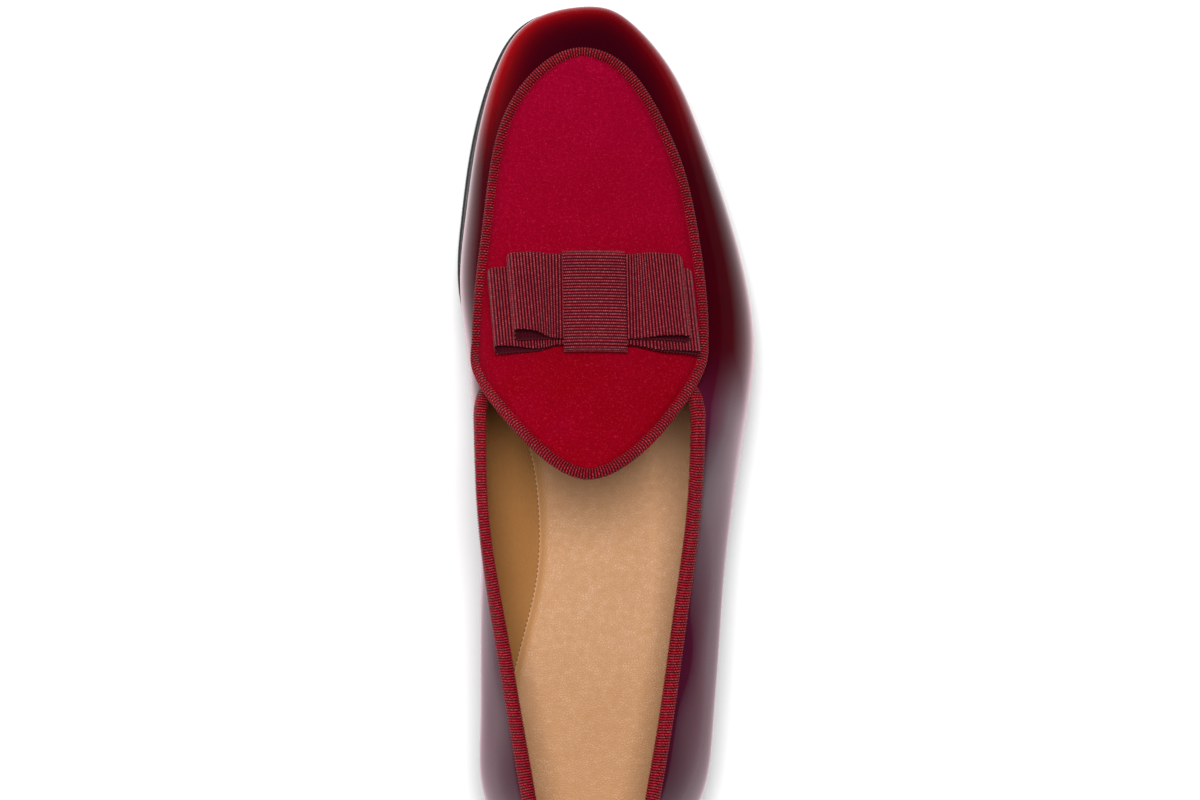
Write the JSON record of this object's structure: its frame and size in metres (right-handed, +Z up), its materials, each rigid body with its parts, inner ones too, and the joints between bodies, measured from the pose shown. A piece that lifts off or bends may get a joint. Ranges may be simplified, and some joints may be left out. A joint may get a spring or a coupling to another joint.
{
  "type": "belgian loafer",
  "caption": "Right slip-on loafer with a suede apron, ribbed ribbon binding and a small flat bow, on a thin leather sole with a low heel.",
  "frame": {"origin": "on the floor under the middle of the shoe's box, midway between toe tip and heel back and between the two sides", "axes": "+Z up from the floor, +Y along the shoe towards the toe, +X towards the little-toe side"},
  "size_m": [0.1004, 0.29, 0.0819],
  "materials": {
    "polished_leather": "burgundy, burnished and polished to a gloss",
    "suede": "crimson suede with a short nap",
    "grosgrain": "burgundy ribbon with fine cross ribs",
    "lining_leather": "natural tan, satin",
    "sole_leather": "black, inked and waxed edge",
    "rubber": "black, matt"
  },
  "bodies": {
    "root": {"outsole": "sole_leather", "heel_stack": "sole_leather", "heel_top_piece": "rubber", "insole": "lining_leather", "upper": "polished_leather", "apron": "suede", "apron_binding": "grosgrain", "topline_binding": "grosgrain", "bow_lower_loops": "grosgrain", "bow_upper_loops": "grosgrain", "bow_knot": "grosgrain"}
  },
  "joints": []
}
